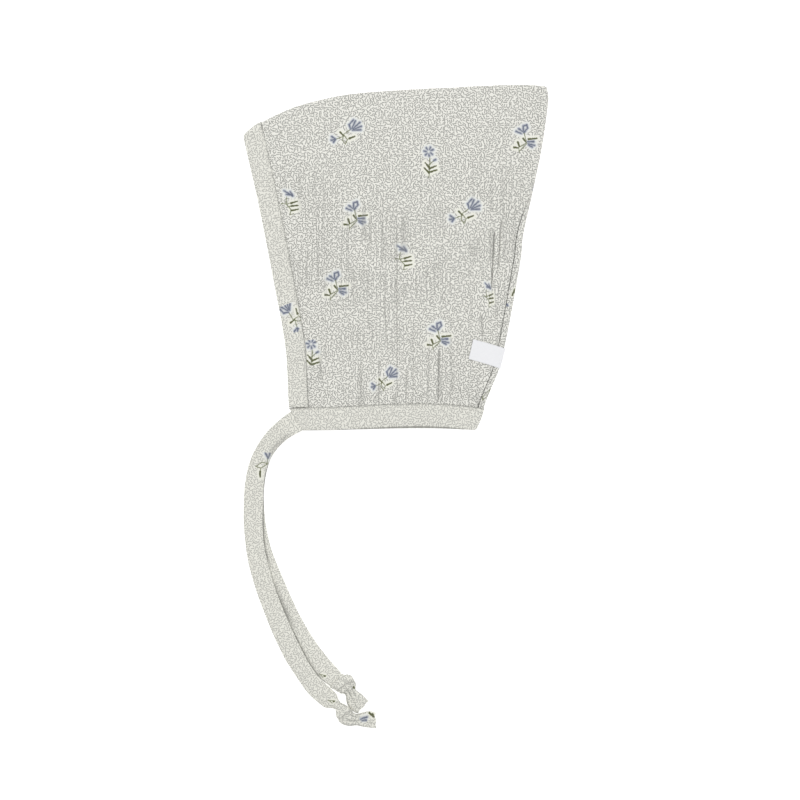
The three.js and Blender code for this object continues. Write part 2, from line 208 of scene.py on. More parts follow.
def crumples(x, y, waves):
    """Several layers of unevenness added up: the share, width, length and seed of each."""
    return sum(share * crumple(x, y, *wave) for share, *wave in waves)


def walked_along(line):
    """How far each point of a line lies from the first one, along the line."""
    return np.r_[0, np.cumsum(np.linalg.norm(np.diff(line, axis=0), axis=1))]


def run_along(route, count):
    """Points at even steps along the smooth line through a route, each with its distance from the
    start and the level directions along and square to the line."""
    reach = walked_along(route)
    fine = np.linspace(0, reach[-1], 12 * count)
    line = np.column_stack([through_rows(reach, route[:, axis], fine) for axis in range(3)])
    walked = walked_along(line)
    at = np.linspace(0, walked[-1], count)
    middle = np.column_stack([np.interp(at, walked, line[:, axis]) for axis in range(3)])
    forward = np.gradient(middle, at, axis=0)
    forward /= np.linalg.norm(forward, axis=1, keepdims=True)
    aside = np.column_stack([-forward[:, 1], forward[:, 0], np.zeros(count)])
    aside /= np.linalg.norm(aside, axis=1, keepdims=True)
    return at, middle, forward, aside


def sewn(name, rings, marks):
    """Closed bodies from grids of rings, one grid or a stack of them. Faces join each ring to the next,
    and each end is closed by a strip of faces between the two halves of its ring. Nothing reaches
    below the surface that the bonnet lies on. Marks are values kept at every point."""
    count, sides = rings.shape[-3:-1]
    index = np.arange(rings.size // 3).reshape(-1, count, sides)
    onward = np.roll(index, -1, axis=2)
    walls = np.stack([index[:, :-1], onward[:, :-1], onward[:, 1:], index[:, 1:]], axis=-1).reshape(-1, 4)
    half = np.arange(sides // 2 - 1)
    lid = np.stack([half, half + 1, sides - 2 - half, sides - 1 - half], axis=-1)
    lids = [index[:, 0][:, lid[:, ::-1]].reshape(-1, 4), index[:, -1][:, lid].reshape(-1, 4)]
    faces = np.vstack([walls, *lids])
    points = rings.reshape(-1, 3) * MM
    points[:, 2] = np.maximum(points[:, 2], LOWEST * MM)
    first, second, third, fourth = (points[faces[:, corner]] for corner in range(4))
    volume = np.einsum("ij,ij->", first, np.cross(second, third) + np.cross(third, fourth))
    if volume < 0:
        faces = faces[:, ::-1]
    mesh = bpy.data.meshes.new(name)
    mesh.vertices.add(len(points))
    mesh.vertices.foreach_set("co", points.ravel())
    mesh.loops.add(faces.size)
    mesh.loops.foreach_set("vertex_index", faces.ravel().astype(np.int32))
    mesh.polygons.add(len(faces))
    mesh.polygons.foreach_set("loop_start", np.arange(0, faces.size, 4, dtype=np.int32))
    mesh.update(calc_edges=True)
    mesh.validate()
    mesh.shade_smooth()
    for title, values in marks.items():
        flat = values.reshape(len(points), -1)
        kind = "FLOAT" if flat.shape[1] == 1 else "FLOAT_VECTOR"
        mark = mesh.attributes.new(title, kind, "POINT")
        mark.data.foreach_set("value" if kind == "FLOAT" else "vector", flat.ravel().astype(np.float32))
    return in_scene(name, mesh)


def sprigs_near(cut, chart):
    """Where each point of cloth falls on the sheet of sprig drawings: its place from the middle of the
    sprig that reaches it, turned and narrowed as charted, or far off the sheet. Chart columns are
    kind, across, along, turn in degrees, narrowing and reach."""
    sheet = np.full(cut.shape, NO_SPRIG)
    for kind, across, along, turn, narrow, reach in chart:
        away = cut[..., :2] - (across, along)
        bend = np.radians(turn)
        local_x = (away[..., 0] * np.cos(bend) + away[..., 1] * np.sin(bend)) / narrow
        local_y = away[..., 1] * np.cos(bend) - away[..., 0] * np.sin(bend)
        inside = np.hypot(away[..., 0], away[..., 1]) < reach
        sheet[..., 0] = np.where(inside, local_x + kind * SPRIG_SHEET_STEP, sheet[..., 0])
        sheet[..., 1] = np.where(inside, local_y, sheet[..., 1])
    sheet[..., 2] = 0
    return sheet


def swelled(wave, power):
    """A wave between -1 and 1, swelled or thinned by a power with its sign kept."""
    return np.sign(wave) * np.abs(wave) ** power


def tie_tape(name, route, cloth_offset, chart, seed, droop_from, pinch, over_it=None):
    """A flat tape along a route: a rounded oblong section, thinner at its stitched edge, whose outer
    edge sinks where nothing lies under it and whose end is pinched by a share of its width. Its colour
    carries painted shade where the fold turns near the band, and beside the tape that lies over it."""
    back = route[0] - route[1]
    start = route[0] + TIE_TUCK * back / np.linalg.norm(back)
    onward = route[-1] - route[-2]
    finish = route[-1] + KNOT_TUCK * onward / np.linalg.norm(onward)
    at, middle, forward, aside = run_along(np.vstack([start, route, finish]), TIE_RINGS)
    turn = FULL_TURN * (np.arange(TIE_SIDES) + 0.5) / TIE_SIDES
    across = swelled(np.cos(turn), TIE_EDGE_ROUND)
    over = swelled(np.sin(turn), TIE_FACE_ROUND)
    along = at[:, None]
    width = TIE_WIDTH + (TIE_ROOT_WIDTH - TIE_WIDTH) * (1 - ease(along, TIE_ROOT_RUN))
    width = width + TIE_UNEVEN * crumple(along, 0.0, 14, 9, seed)
    width = width * (1 - pinch * ease(along - at[-1] + KNOT_PINCH_RUN, KNOT_PINCH_RUN))
    side = across * width / 2
    thick = TIE_THICKNESS * (0.46 + 0.06 * crumple(along, side, 7, 4, 5))
    dent = TIE_DENT * np.exp(-((side - width / 2 + TIE_STITCH_IN) / 0.5) ** 2)
    puff = TIE_PUFF * np.exp(-((side + 1.5) / 2.6) ** 2)
    lift = over * (thick + puff) - np.where(over > 0, 1, -1) * dent
    pull = TIE_PULL * crumple(along + 0.6 * side, side, 3.2, 6, 12)
    sink = TIE_DROOP * ease(along - droop_from, TIE_DROOP_RUN) * ease(side - 0.5, width / 2 - 0.5)
    rings = middle[:, None, :] - aside[:, None, :] * side[..., None]
    rings[..., 2] += lift + np.where(over > 0, pull, 0) - sink
    rings[..., 2] = np.maximum(rings[..., 2], TIE_LOWEST)
    round_way = np.r_[0, np.cumsum(np.hypot(np.diff(across * TIE_WIDTH / 2), np.diff(over)))]
    cut = np.zeros(rings.shape)
    cut[..., 0] = cloth_offset - round_way
    cut[..., 1] = -along
    # Painted shade along the inner edge where the fold turns, and beside the tape that lies over this one
    fold = ease(-side - width / 2 + FOLD_SHADE_WIDTH, 1.2) * ease(along - 6, 8)
    painted_shade = FOLD_SHADE * fold * (1 - ease(along - 28, 8))
    if over_it is not None:
        apart = rings[:, :, None, :2] - over_it[:, :2] / MM
        beside = np.linalg.norm(apart, axis=-1).min(axis=-1) - TIE_WIDTH / 2
        painted_shade = np.maximum(painted_shade, CONTACT_SHADE * np.exp(-((beside / CONTACT_REACH) ** 2)))
    marks = {"cut": cut, "sprig": sprigs_near(rings, chart), "painted_shade": painted_shade}
    return sewn(name, rings, marks), middle * MM, rings


def step(tree, kind, *fills, **settings):
    """Adds one node to a tree, with its settings, and fills its inputs in order with values or links."""
    made = tree.nodes.new(kind)
    for title, value in settings.items():
        setattr(made, title, value)
    for socket, fill in zip(made.inputs, fills):
        if isinstance(fill, bpy.types.NodeSocket):
            tree.links.new(fill, socket)
        elif fill is not None:
            socket.default_value = fill
    return made


def number(tree, operation, *fills):
    return step(tree, "ShaderNodeMath", *fills, operation=operation).outputs[0]


def arrow(tree, operation, *fills):
    return step(tree, "ShaderNodeVectorMath", *fills, operation=operation).outputs["Vector"]


def measure(tree, operation, *fills):
    return step(tree, "ShaderNodeVectorMath", *fills, operation=operation).outputs["Value"]


def fade(tree, value, full, none):
    """1 where the value has reached full, 0 where it has reached none, eased between."""
    made = step(tree, "ShaderNodeMapRange", value, full, none, 1.0, 0.0, interpolation_type="SMOOTHSTEP")
    return made.outputs[0]


def grain(tree, place, scale, detail=0.0):
    made = step(tree, "ShaderNodeTexNoise", noise_dimensions="2D")
    made.inputs["Scale"].default_value = scale
    made.inputs["Detail"].default_value = detail
    tree.links.new(place, made.inputs["Vector"])
    return made.outputs[0]


def mark_of(tree, title, socket="Vector"):
    return step(tree, "ShaderNodeAttribute", attribute_name=title).outputs[socket]


def mixed(tree, mask, under, over, **settings):
    """One colour over another by a mask, each of them a link or a plain colour."""
    made = step(tree, "ShaderNodeMix", mask, data_type="RGBA", **settings)
    for socket, colour in zip(made.inputs[6:8], (under, over)):
        if isinstance(colour, bpy.types.NodeSocket):
            tree.links.new(colour, socket)
        else:
            socket.default_value = (*colour, 1)
    return made.outputs[2]


def raised(tree, shader, height, strength, distance):
    """Gives a shader a bump from a height."""
    bump = step(tree, "ShaderNodeBump")
    bump.inputs["Strength"].default_value = strength
    bump.inputs["Distance"].default_value = distance
    tree.links.new(height, bump.inputs["Height"])
    tree.links.new(bump.outputs["Normal"], shader.inputs["Normal"])


def new_group(name, entry, *results):
    """A shader node group from a vector to some numbers: its tree, the vector and the results to fill."""
    group = bpy.data.node_groups.new(name, "ShaderNodeTree")
    group.interface.new_socket(entry, in_out="INPUT", socket_type="NodeSocketVector")
    for title in results:
        group.interface.new_socket(title, in_out="OUTPUT", socket_type="NodeSocketFloat")
    return group, group.nodes.new("NodeGroupInput").outputs[0], group.nodes.new("NodeGroupOutput").inputs


# The ground of the print is a close grey squiggle: one short curled stroke in each cell of a loose
# scatter, each turned and curled its own way
STROKES_EACH_MM = 0.73
STROKE_HALF_LENGTH = 0.6
STROKE_HALF_WIDTH = 0.27
STROKE_EDGE = 0.1
STROKE_CURL = 0.5
STROKE_WAVE = 2.2
squiggle, squiggle_in, squiggle_out = new_group("squiggle print", "Cut", "Ink")
scatter = step(squiggle, "ShaderNodeTexVoronoi", voronoi_dimensions="2D", feature="F1")
scatter.inputs["Scale"].default_value = STROKES_EACH_MM
scatter.inputs["Randomness"].default_value = 0.85
squiggle.links.new(squiggle_in, scatter.inputs["Vector"])
from_middle = arrow(squiggle, "SUBTRACT", squiggle_in, scatter.outputs["Position"])
own = step(squiggle, "ShaderNodeSeparateColor", scatter.outputs["Color"]).outputs
heading = number(squiggle, "MULTIPLY", own[0], FULL_TURN)
turned = step(squiggle, "ShaderNodeVectorRotate", from_middle, None, None, heading, rotation_type="Z_AXIS")
ahead, aside, _ = step(squiggle, "ShaderNodeSeparateXYZ", turned.outputs["Vector"]).outputs
own_curl = number(squiggle, "MULTIPLY_ADD", own[1], 2 * STROKE_CURL, -STROKE_CURL)
bend = number(squiggle, "SINE", number(squiggle, "MULTIPLY", ahead, STROKE_WAVE))
aside = number(squiggle, "MULTIPLY_ADD", bend, own_curl, aside)
ahead = number(squiggle, "SUBTRACT", number(squiggle, "ABSOLUTE", ahead), STROKE_HALF_LENGTH)
ahead = number(squiggle, "MAXIMUM", ahead, 0.0)
off_stroke = number(squiggle, "MULTIPLY_ADD", aside, aside, number(squiggle, "MULTIPLY", ahead, ahead))
off_stroke = number(squiggle, "SQRT", off_stroke)
stroke = fade(squiggle, off_stroke, STROKE_HALF_WIDTH - STROKE_EDGE, STROKE_HALF_WIDTH + STROKE_EDGE)
squiggle.links.new(stroke, squiggle_out["Ink"])

# The sprigs, charted on squares of 0.6 mm from the middle of each kind: the strokes of each part, from
# one point to another, and half the width of each part at both ends of a stroke
CHART_SQUARE = 0.6
PART_WIDTHS = {"petal": (0.45, 0.75), "leaf": (1.1, 0.65), "stem": (0.46, 0.46)}
sprig_kinds = {
    1: {
        "petal": [
            (4.8, 3.6, 3.4, 8.3), (3.4, 8.3, 7.5, 13), (6, 4, 9.5, 12), (7, 4, 14, 10.5),
            (7.4, 3.4, 15.3, 6.5), (6.8, 2.6, 15, 3), (-10, -6.3, -14, -3.8), (-10, -6.5, -14.4, -7.3),
            (-10.2, -6.8, -12.2, -9.4),
        ],
        "leaf": [(-5.5, 0.5, -2.2, -3), (3.8, -5.6, 9, -3.6)],
        "stem": [
            (4, 3, -2, -1.5), (-2.2, -3, -3.4, -6.8), (-3.4, -6.8, -0.4, -11.4), (-0.4, -11.4, 1.6, -6.8),
            (1.6, -6.8, -1.6, -2.4), (1.6, -6.8, 3.8, -5.6), (-2.8, -3.6, -9, -6.2),
        ],
    },
    2: {
        "petal": [
            (2.6, 10, 4.8, 11), (1.4, 11.2, 2.2, 13.4), (-0.6, 11, -1.8, 12.8), (-1.6, 9.2, -3.8, 9.6),
            (-1, 7.4, -2.6, 5.8), (0.8, 6.8, 1, 4.8), (2.4, 8, 4.2, 6.4), (5.6, 0.2, 7.4, 1.2),
        ],
        "leaf": [(1, -6.5, -3, -2), (1, -12, -4, -7), (1.2, -8, 8, -5), (1, -11.5, 9, -9)],
        "stem": [(1.8, 3, 0.8, -17), (1, -4, 5.6, 0)],
    },
    3: {
        "petal": [
            (-3, 3.4, -8.3, 5.7), (-2.1, 5.7, -5.7, 8.3), (-1.2, 5.7, -1.2, 11), (-1.2, 11, 2.3, 12.2),
            (2.3, 12.2, 3.2, 9.2), (3.2, 9.2, -0.3, 4.8), (3.2, -4.6, 9.4, -4.4), (3.6, -6.5, 10, -8),
            (4.1, -7.7, 7.7, -9.8),
        ],
        "leaf": [
            (4, -2, 12.6, -1), (-1.2, -1.4, 1.4, -5), (-6.6, -5, -5.1, -9.4), (-10.5, -10.3, -6.2, -10.9),
        ],
        "stem": [
            (-0.3, 4, 2.3, -6), (1.4, -6.2, -6.6, -10.9), (-5.7, -11.2, -4.8, -15.7), (2, -7, -5, -14),
        ],
    },
    4: {
        "petal": [(-5.6, 11.4, 3.3, 6.1), (0.7, 10.6, 3.3, 6.1), (-3.4, 7.6, 1.6, 7.2)],
        "leaf": [(1.8, -1, 7.8, 0.8), (1.8, -4, 8.7, -3.3), (2.2, -8.4, 8.7, -7.2)],
        "stem": [
            (-2.9, 5.2, -3.4, -1.9), (-3.4, -1.9, 1.5, -7.2), (1.5, -7.2, 0.7, -12.6),
            (-3.4, -1.9, 1.8, -1), (-1.5, -4.5, 1.8, -4), (-8.2, -1.6, -3.4, -1.9),
            (0.7, -12.6, 4.4, -11.6),
        ],
    },
    5: {
        "leaf": [(-2.6, -1.2, 2.2, 1.4), (-0.6, 1.4, 2.4, 2.2)],
    },
    6: {
        "petal": [(-2.5, -2.5, 2, 2.5), (-0.5, -3, 2.8, -0.5)],
    },
    7: {
        "petal": [(6.2, 6.8, 3.8, 12.1), (6.2, 6.8, 9.1, 13.9)],
        "leaf": [(-1.6, -6.6, -1.6, -11.9)],
        "stem": [
            (-6, -1.4, 0.2, 2.9), (0.2, 2.9, 5.6, 1.4), (5.6, 1.4, -1, -3), (-1, -3, -6, -1.4),
            (-1, -3, -1.6, -6.6), (5.8, 6.4, 5.6, 1.4),
        ],
    },
    8: {
        "leaf": [(1.6, 0.4, 2.4, 0.8)],
        "stem": [(-3.4, -1.2, 2.6, 1.6), (-1.6, -1.4, 1.2, -1.6)],
    },
}
sprigs, sprigs_in, sprigs_out = new_group(
    "sprig sheet", "Place", "Petal", "Leaf", "Stem", "Fill", "Cool", "Warm")
unsteady = step(sprigs, "ShaderNodeTexNoise", noise_dimensions="2D")
sprigs.links.new(sprigs_in, unsteady.inputs["Vector"])
unsteady.inputs["Scale"].default_value = 0.9
wander = arrow(sprigs, "MULTIPLY_ADD", unsteady.outputs["Color"], (0.7, 0.7, 0.0), (-0.35, -0.35, 0.0))
pen = arrow(sprigs, "ADD", sprigs_in, wander)
nearest = {}
for kind, parts in sprig_kinds.items():
    strokes = [(part, *stroke) for part in parts for stroke in parts[part]]
    for part, x, y, to_x, to_y in strokes:
        start = np.array([x * CHART_SQUARE + kind * SPRIG_SHEET_STEP, y * CHART_SQUARE, 0.0])
        along = np.array([to_x - x, to_y - y, 0.0]) * CHART_SQUARE
        from_half, to_half = (width * CHART_SQUARE for width in PART_WIDTHS[part])
        away = arrow(sprigs, "SUBTRACT", pen, tuple(start))
        reached = measure(sprigs, "DOT_PRODUCT", away, tuple(along / along.dot(along)))
        reached = number(sprigs, "MAXIMUM", number(sprigs, "MINIMUM", reached, 1.0), 0.0)
        foot = step(sprigs, "ShaderNodeVectorMath", tuple(-along), operation="SCALE")
        sprigs.links.new(reached, foot.inputs["Scale"])
        off_line = arrow(sprigs, "ADD", away, foot.outputs["Vector"])
        gap = measure(sprigs, "LENGTH", off_line)
        gap = number(sprigs, "MULTIPLY_ADD", reached, from_half - to_half, gap)
        gap = number(sprigs, "SUBTRACT", gap, from_half)
        if part in nearest:
            gap = number(sprigs, "MINIMUM", nearest[part], gap)
        nearest[part] = gap
for title, part, full, none in (
        ("Petal", "petal", -0.12, 0.12), ("Leaf", "leaf", -0.12, 0.12), ("Stem", "stem", -0.12, 0.12),
        ("Fill", "petal", 0.2, 0.9), ("Cool", "petal", 0.8, 2.1), ("Warm", "leaf", 0.6, 2.1)):
    sprigs.links.new(fade(sprigs, nearest[part], full, none), sprigs_out[title])

# Two layers of open-weave cotton: threads across and along, with thick and thin stretches
THREAD_PITCH = 0.55
gauze, gauze_in, gauze_out = new_group("gauze weave", "Cut", "Height", "Shade")
threads = []
for warp in ((1.0, 0.06, 0.0), (0.06, 1.0, 0.0)):
    stretch = arrow(gauze, "MULTIPLY", gauze_in, tuple(warp))
    threads.append(grain(gauze, stretch, 1 / THREAD_PITCH, 1.0))
woven = number(gauze, "ADD", threads[0], threads[1])
gauze.links.new(woven, gauze_out["Height"])
mottle = grain(gauze, gauze_in, 0.09, 2.0)
gauze.links.new(number(gauze, "MULTIPLY_ADD", mottle, 0.05, 0.975), gauze_out["Shade"])


# Painted shade for fine crinkle too narrow for the mesh: long thin dark lines up and down the cloth,
# where a noise drawn out along them crosses its middle value, fading out towards the crown
LINE_EACH_MM = 0.34
LINE_STRETCH = 0.013
lines, lines_in, lines_out = new_group("crinkle lines", "Cut", "Line")
drawn_out = arrow(lines, "MULTIPLY", lines_in, (1.0, LINE_STRETCH, 0.0))
off_middle = number(lines, "ABSOLUTE", number(lines, "SUBTRACT", grain(lines, drawn_out, LINE_EACH_MM), 0.5))
patches = fade(lines, grain(lines, lines_in, 0.035), 0.56, 0.38)
low_down = fade(lines, step(lines, "ShaderNodeSeparateXYZ", lines_in).outputs[1], 20.0, 75.0)
line = number(lines, "MULTIPLY", fade(lines, off_middle, 0.02, 0.085), patches)
lines.links.new(number(lines, "MULTIPLY", line, low_down), lines_out["Line"])


COTTON_LOOKS = {"Roughness": 0.92, "Specular IOR Level": 0.2, "Sheen Weight": 0.08, "Sheen Roughness": 0.6}
SPRIG_TINTS = (
    ("Warm", (0.83, 0.83, 0.74), 0.75), ("Cool", (0.77, 0.79, 0.77), 0.75),
    ("Fill", (0.40, 0.425, 0.485), 0.85), ("Stem", (0.18, 0.20, 0.105), 0.9),
    ("Leaf", (0.12, 0.13, 0.065), 1.0), ("Petal", (0.135, 0.155, 0.215), 0.95),
)
# Colours of the painted shade along the fine crinkle lines, and in creases, folds and seams
CRINKLE_SHADE_TINT = (0.30, 0.30, 0.28)
PAINTED_SHADE_TINT = (0.20, 0.20, 0.185)
WEAVE_STRENGTH = 0.35
WEAVE_RELIEF = 0.00025


def printed_cotton(name, ground, ink, ink_share, crinkle_shade=0.0):
    """The printed cotton: squiggle ink on a pale ground, left clear around the sprigs, darkened by painted
    shade in creases, folds and seams, over the relief of the weave. The crinkle shade is how dark the
    painted shade along its fine crinkle lines is."""
    cloth, tree, shader = new_material(name, COTTON_LOOKS)
    cut = mark_of(tree, "cut")
    squiggles = step(tree, "ShaderNodeGroup", cut, node_tree=squiggle).outputs["Ink"]
    sheet = step(tree, "ShaderNodeGroup", mark_of(tree, "sprig"), node_tree=sprigs).outputs
    weave = step(tree, "ShaderNodeGroup", cut, node_tree=gauze).outputs
    clear = number(tree, "MAXIMUM", sheet["Cool"], sheet["Warm"])
    inked = number(tree, "MULTIPLY", squiggles, number(tree, "SUBTRACT", 1.0, clear))
    colour = mixed(tree, number(tree, "MULTIPLY", inked, ink_share), ground, ink)
    for part, tint, share in SPRIG_TINTS:
        colour = mixed(tree, number(tree, "MULTIPLY", sheet[part], share), colour, tint)
    # Painted shade along the fine crinkle lines
    if crinkle_shade:
        fine = step(tree, "ShaderNodeGroup", cut, node_tree=lines).outputs["Line"]
        colour = mixed(tree, number(tree, "MULTIPLY", fine, crinkle_shade), colour, CRINKLE_SHADE_TINT)
    # Painted shade from the mesh's mark: in creases, folds, seams and along edges where parts meet
    colour = mixed(tree, mark_of(tree, "painted_shade", "Fac"), colour, PAINTED_SHADE_TINT)
    colour = mixed(tree, 1.0, colour, weave["Shade"], blend_type="MULTIPLY")
    tree.links.new(colour, shader.inputs["Base Color"])
    raised(tree, shader, weave["Height"], WEAVE_STRENGTH, WEAVE_RELIEF)
    return cloth


tie_cotton = printed_cotton(
    "folded tie cotton", ground=(0.81, 0.805, 0.735), ink=(0.36, 0.36, 0.335), ink_share=0.76)


def finish_piece(piece, cloth, slot, *nodes):
    """Gives a piece its cloth and its body, and hides the nodes that it stands for. The slot is not used."""
    piece.data.materials.append(cloth)
    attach(piece, "root")
    if nodes:
        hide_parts(*nodes)
    return piece


near_tie_chart = [(7, -80.4, -124.5, 0, 1.0, 9.0), (8, -38.4, -265.8, -30, 1.0, 3.4)]
far_tie_chart = [(8, -43.8, -250.5, -40, 1.0, 3.4)]
near_tie, near_line, near_rings = tie_tape(
    "tie_strip_near", near_tie_route, 300, near_tie_chart, seed=45, droop_from=60.0, pinch=0.5)
far_tie, far_line, far_rings = tie_tape(
    "tie_strip_far", far_tie_route, 400, far_tie_chart, seed=44, droop_from=np.inf, pinch=0.1,
    over_it=near_line)
finish_piece(near_tie, tie_cotton, "tie_cloth", "tie_near")
finish_piece(far_tie, tie_cotton, "tie_cloth", "tie_far")

# The thread that closes each folded tie shows as a row of short stitches on both of its faces
STITCH_PITCH = 2.9
STITCH_HALF = 1.0
THREAD_HALF = 0.17
STITCH_PROUD = 0.1
THREAD_SIDES = 6

thread, tree, shader = new_material("stitching thread", {"Roughness": 0.7, "Specular IOR Level": 0.3})
twist = grain(tree, mark_of(tree, "cut"), 1.6, 1.0)
tree.links.new(mixed(tree, twist, (0.70, 0.695, 0.64), (0.80, 0.795, 0.73)), shader.inputs["Base Color"])


def stitch_row(name, rings, columns, slot):
    """Short threads at even steps along some columns of a piece's rings. Each is a round thread whose
    middle stands proud of the cloth and whose ends dip into it and taper."""
    steps = np.array([-1.0, -0.7, 0.0, 0.7, 1.0])
    turn = FULL_TURN * np.arange(THREAD_SIDES) / THREAD_SIDES
    bodies = []
    for column in columns:
        line = rings[:, column]
        across = rings[:, (column + 1) % rings.shape[1]] - rings[:, column - 1]
        walked = walked_along(line)
        middles = np.arange(STITCH_PITCH, walked[-1] - STITCH_PITCH, STITCH_PITCH)
        at = middles[:, None] + STITCH_HALF * steps

        def seen(values):
            return np.stack([np.interp(at, walked, values[:, axis]) for axis in range(3)], axis=-1)

        forward = seen(np.gradient(line, axis=0))
        forward /= np.linalg.norm(forward, axis=-1, keepdims=True)
        up = np.cross(seen(across), forward)
        up /= np.linalg.norm(up, axis=-1, keepdims=True)
        spread = np.cross(forward, up)
        centre = seen(line) + (STITCH_PROUD - 2 * STITCH_PROUD * steps**2)[:, None] * up
        round_it = np.sqrt(1.04 - steps**4)[:, None] * THREAD_HALF
        ring = centre[:, :, None, :] + (round_it * np.cos(turn))[..., None] * spread[:, :, None, :]
        bodies.append(ring + (round_it * np.sin(turn))[..., None] * up[:, :, None, :])
    stack = np.concatenate(bodies)
    return finish_piece(sewn(name, stack, {"cut": stack}), thread, slot)


stitch_reach = 1 - TIE_STITCH_IN / (TIE_WIDTH / 2)
stitch_turn = np.arccos(stitch_reach ** (1 / TIE_EDGE_ROUND))
top_column = int(round(stitch_turn / FULL_TURN * TIE_SIDES - 0.5))
tie_columns = (top_column, TIE_SIDES - 1 - top_column)
near_stitches = stitch_row("tie_stitches_near", near_rings, tie_columns, "tie_cloth")
far_stitches = stitch_row("tie_stitches_far", far_rings, tie_columns, "tie_cloth")

# The two overhand knots
# Each tie ends in one overhand knot, pulled small: the tape wraps once round itself, puffs out on
# both sides of the wrap, and its cut end flares out of the knot as a short pleated tail.
KNOT_RINGS = 90
KNOT_SIDES = 64
KNOT_ROUND = 0.8
KNOT_PINCH_AT = 0.5
KNOT_PINCH_HALF = 0.16
KNOT_WRAP_AT = 0.26
KNOT_WRAP_HALF = 0.03
PLEATS = 11.0

near_knot_route = np.array([
    [-36.3, -270.4, 4.0], [-35, -271.4, 4.1], [-33.4, -272.4, 4.1], [-30, -274.5, 3.9], [-27, -275.7, 3.1],
    [-24, -276.3, 2.3], [-21, -276.5, 1.9], [-17.4, -276.8, 1.8], [-14.4, -277.2, 1.7], [-12.1, -277.7, 1.6],
])
far_knot_route = np.array([
    [-35.7, -253.2, 4.0], [-33.6, -254.3, 4.1], [-31, -255.6, 4.2], [-28.5, -257.7, 4.0],
    [-26.8, -260.4, 2.8], [-24.9, -263.4, 2.0], [-22.8, -266.1, 1.8],
    [-21, -267.9, 1.7], [-19.3, -269.1, 1.6],
])

# The outline of each knot in millimetres to the left and right of its line, and its full thickness
near_knot_outline = {
    "along": [0, 0.10, 0.19, 0.34, 0.45, 0.56, 0.67, 0.80, 0.90, 1],
    "left": [3.8, 4.8, 5.3, 4.6, 3.0, 2.7, 3.7, 4.8, 5.0, 4.6],
    "right": [3.4, 4.6, 5.3, 5.6, 5.2, 4.2, 4.7, 5.0, 4.8, 4.6],
    "thick": [4.9, 6.9, 7.9, 7.4, 5.6, 3.9, 3.3, 3.0, 2.8, 2.4],
}
far_knot_outline = {
    "along": [0, 0.10, 0.23, 0.37, 0.50, 0.66, 0.80, 0.91, 1],
    "left": [4.9, 5.4, 6.5, 5.2, 3.0, 4.1, 4.7, 4.6, 4.3],
    "right": [5.8, 5.8, 6.0, 5.6, 4.0, 5.8, 6.6, 6.2, 5.4],
    "thick": [4.9, 6.9, 8.1, 7.3, 4.6, 3.4, 3.0, 2.8, 2.4],
}


def knotted(name, route, outline, collar_slant, end_slant, cloth_offset, chart):
    """A knot along a route with its outline and thickness from a table. It starts at the blunt edge of
    the wrap, its folds fan into the pinch and out of it again, and the tail ends at a slant. Its colour
    carries painted shade in the pleat valleys and in the groove of the wrap."""
    at, middle, forward, aside = run_along(route, KNOT_RINGS)
    share = at / at[-1]
    left, right, thick = (
        through_rows(outline["along"], outline[title], share)[:, None]
        for title in ("left", "right", "thick"))
    turn = FULL_TURN * (np.arange(KNOT_SIDES) + 0.5) / KNOT_SIDES
    across = swelled(np.cos(turn), KNOT_ROUND)
    over = swelled(np.sin(turn), KNOT_ROUND)
    along = share[:, None]
    pinch = np.exp(-(((along - KNOT_PINCH_AT) / KNOT_PINCH_HALF) ** 2))
    fold = 0.22 + 0.34 * pinch
    body = 1 - ease(along - 0.4, 0.16)
    pleats = np.cos(across * (PLEATS - 2.0 * along) + 1.2 * crumple(along * 9, across * 2 + 6, 2, 2, 40))
    wrap = np.exp(-(((along - KNOT_WRAP_AT - 0.1 * across) / KNOT_WRAP_HALF) ** 2)) * body
    wrinkle = crumple(along * 30, across * 5 + 9, 1.7, 1.3, 44)
    side = np.where(across > 0, left, right) * across * (1 + 0.03 * wrinkle * body)
    rounding = np.abs(np.sin(turn)) ** 0.5
    lift = over * thick / 2 + np.sign(over) * rounding * (fold * 0.5 * pleats + 0.14 * wrinkle - 0.45 * wrap)
    slide = collar_slant * (1 - ease(along, 0.3)) * across + end_slant * ease(along - 0.7, 0.3) * across
    slide = slide + 0.25 * ease(along - 0.85, 0.15) * np.cos(across * 6)
    rings = middle[:, None, :] + aside[:, None, :] * side[..., None] + forward[:, None, :] * slide[..., None]
    rings[..., 2] += lift
    cut = rings + (cloth_offset, 0, 0)
    # Painted shade in the valleys of the pleats, deeper near the pinch, and in the groove of the wrap
    valley_shade = np.clip(-pleats, 0, 1) * (0.18 + 0.34 * pinch)
    painted_shade = np.clip(np.maximum(valley_shade, 0.4 * wrap), 0, 1)
    return sewn(name, rings, {"cut": cut, "sprig": sprigs_near(rings, chart), "painted_shade": painted_shade})


near_knot_chart = [(5, -14.8, -274.4, -74, 1.0, 2.8), (6, -19.2, -276.2, -30, 1.0, 3.0)]
far_knot_chart = [(5, -25.0, -257.6, 60, 0.6, 1.2)]
near_knot = knotted(
    "overhand_knot_near", near_knot_route, near_knot_outline, collar_slant=-3.0, end_slant=-1.2,
    cloth_offset=300, chart=near_knot_chart)
far_knot = knotted(
    "overhand_knot_far", far_knot_route, far_knot_outline, collar_slant=1.6, end_slant=0.6,
    cloth_offset=400, chart=far_knot_chart)
finish_piece(near_knot, tie_cotton, "tie_cloth", "knot_near")
finish_piece(far_knot, tie_cotton, "tie_cloth", "knot_far")


